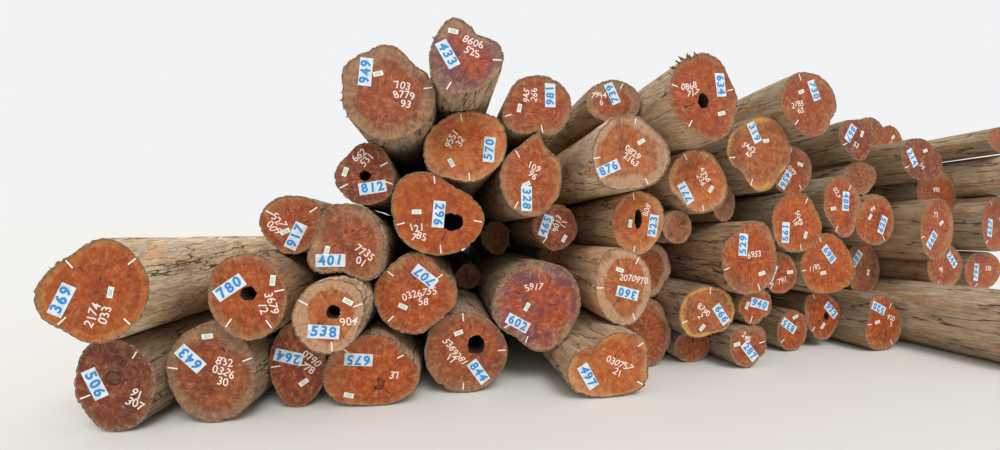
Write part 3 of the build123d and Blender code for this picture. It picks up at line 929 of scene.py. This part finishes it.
# From and to in degrees round the end, how many, and the longest in metres
torn_bark = {
    "log_26": (75, 150, 34, 0.08),
    "log_11": (130, 215, 16, 0.05),
    "log_13": (80, 150, 14, 0.05),
    "log_01": (80, 150, 16, 0.035),
    "log_07": (60, 200, 18, 0.03),
    "log_16": (40, 110, 8, 0.03),
}
splinters = bmesh.new()
for node, end, middle, normal, rim in seen_ends:
    start, stop, count, longest = torn_bark.get(node, (0, 0, 0, 0))
    level, upward, out = end_axes(normal)
    for _ in range(count):
        angle = math.radians(marking.uniform(start, stop))
        direction = level * math.cos(angle) + upward * math.sin(angle)
        root = min(rim, key=lambda p: (p - middle).angle(direction))
        deep = marking.uniform(*splinter_back)
        length = min(longest * marking.uniform(0.35, 1.0), cad_box[1][2] - root.z + 0.010)
        if length < splinter_shortest:
            continue
        verts = bmesh.ops.create_cone(
            splinters, cap_ends=True, segments=5, radius1=marking.uniform(*splinter_radius),
            radius2=splinter_tip, depth=length)["verts"]
        bmesh.ops.scale(splinters, vec=(1, splinter_flatness, 1), verts=verts)
        leaning = normal * marking.uniform(0, 0.5) + level * marking.uniform(-0.5, 0.5)
        tip = (direction + leaning).normalized()
        place = Matrix.Translation(root + normal * deep + direction * (length / 2 - splinter_sunk))
        lean = tip.to_track_quat("Z", "Y").to_matrix().to_4x4()
        bmesh.ops.transform(splinters, matrix=place @ lean, verts=verts)


def finish_marks(name, mesh, used):
    """All marks of one kind as one piece of the heap, in one material."""
    bmesh.ops.recalc_face_normals(mesh, faces=mesh.faces)
    data = bpy.data.meshes.new(name)
    mesh.to_mesh(data)
    mesh.free()
    data.materials.append(used)
    piece = bpy.data.objects.new(name, data)
    bpy.context.scene.collection.objects.link(piece)
    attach(piece, "root")


finish_marks("paper_labels", labels, make_paper())
# Ink from a broad brush is a strong blue, paler where the brush ran dry
finish_marks("label_numbers", label_numbers, make_paint("ink_blue_brushed", "1f7cc4", "6fb0dc", 0.6, 0.5))
# Moulded plastic is smooth, pale green-white and glossier than the wood round it
finish_marks("number_tags", tags, make_paint("polypropylene_tag_moulded", "e4eadf", "bcc5b6", 0.3, 0.45))
# Printed bars are a flat grey-green, hardly darker than the tag
finish_marks("tag_bars", tag_bars, make_paint("ink_grey_green_printed", "7f9f8d", "a9bdb0", 0.4, 0.6))
# Chalk is dull and dusty, and the wood's colour shows through it
finish_marks("chalk_numbers", chalk, make_paint("chalk_white_drawn", "efe2d8", "c58f70", 0.7, 0.95))
# Paint dabbed on is warm white, with worn patches of wood colour
finish_marks("edge_ticks", ticks, make_paint("paint_white_dabbed", "efe9de", "cfae90", 0.6, 0.7))
finish_marks("bark_splinters", splinters, bark_edge)


# Floor, light and camera: an overcast day, with one soft light from above and in front

def make_floor():
    """Painted board, matt and pale, so that the heap's shadow shows on it."""
    made, tree, _ = new_material("studio_floor_painted_pale")
    shader = add(tree, "ShaderNodeBsdfPrincipled",
                 {"Base Color": colour("dcdad5"), "Roughness": 0.9, "IOR": common_ior})
    add(tree, "ShaderNodeOutputMaterial", {"Surface": shader})
    return made


bpy.ops.mesh.primitive_plane_add(size=400, location=(0, 0, -0.001))
floor = bpy.context.object
floor.name = "studio_floor"
floor.data.materials.append(make_floor())

world = bpy.data.worlds.new("studio_light")
world.use_nodes = True
bpy.context.scene.world = world
tree = world.node_tree
tree.nodes.clear()
# What the camera sees behind the heap is a little greyer than the light that falls on it
seen = add(tree, "ShaderNodeLightPath").outputs["Is Camera Ray"]
around = add(tree, "ShaderNodeBackground", {"Color": colour("ffffff"), "Strength": 0.9})
behind = add(tree, "ShaderNodeBackground", {"Color": colour("f2f3f4"), "Strength": 1.0})
chosen = add(tree, "ShaderNodeMixShader", {0: seen, 1: around, 2: behind})
add(tree, "ShaderNodeOutputWorld", {"Surface": chosen})

lamp = bpy.data.lights.new("soft_key", "SUN")
lamp.energy = 1.5
lamp.angle = math.radians(30)
key = bpy.data.objects.new("soft_key", lamp)
key.rotation_euler = (math.radians(40), 0, math.radians(8))
bpy.context.scene.collection.objects.link(key)

# A wide lens at eye height, left of the middle and turned a little to the right
eye = Vector((-2.938, -6.135, 1.6))
heading = math.radians(15.7)
dip = math.radians(0.716)
view = bpy.data.cameras.new("camera")
view.sensor_width = 36
view.lens = 14.4
view.clip_end = 1000
camera = bpy.data.objects.new("camera", view)
camera.location = eye
looking = Vector((math.sin(heading) * math.cos(dip), math.cos(heading) * math.cos(dip), -math.sin(dip)))
camera.rotation_euler = looking.to_track_quat("-Z", "Y").to_euler()
bpy.context.scene.collection.objects.link(camera)
bpy.context.scene.camera = camera

bpy.context.scene.view_settings.view_transform = "Standard"
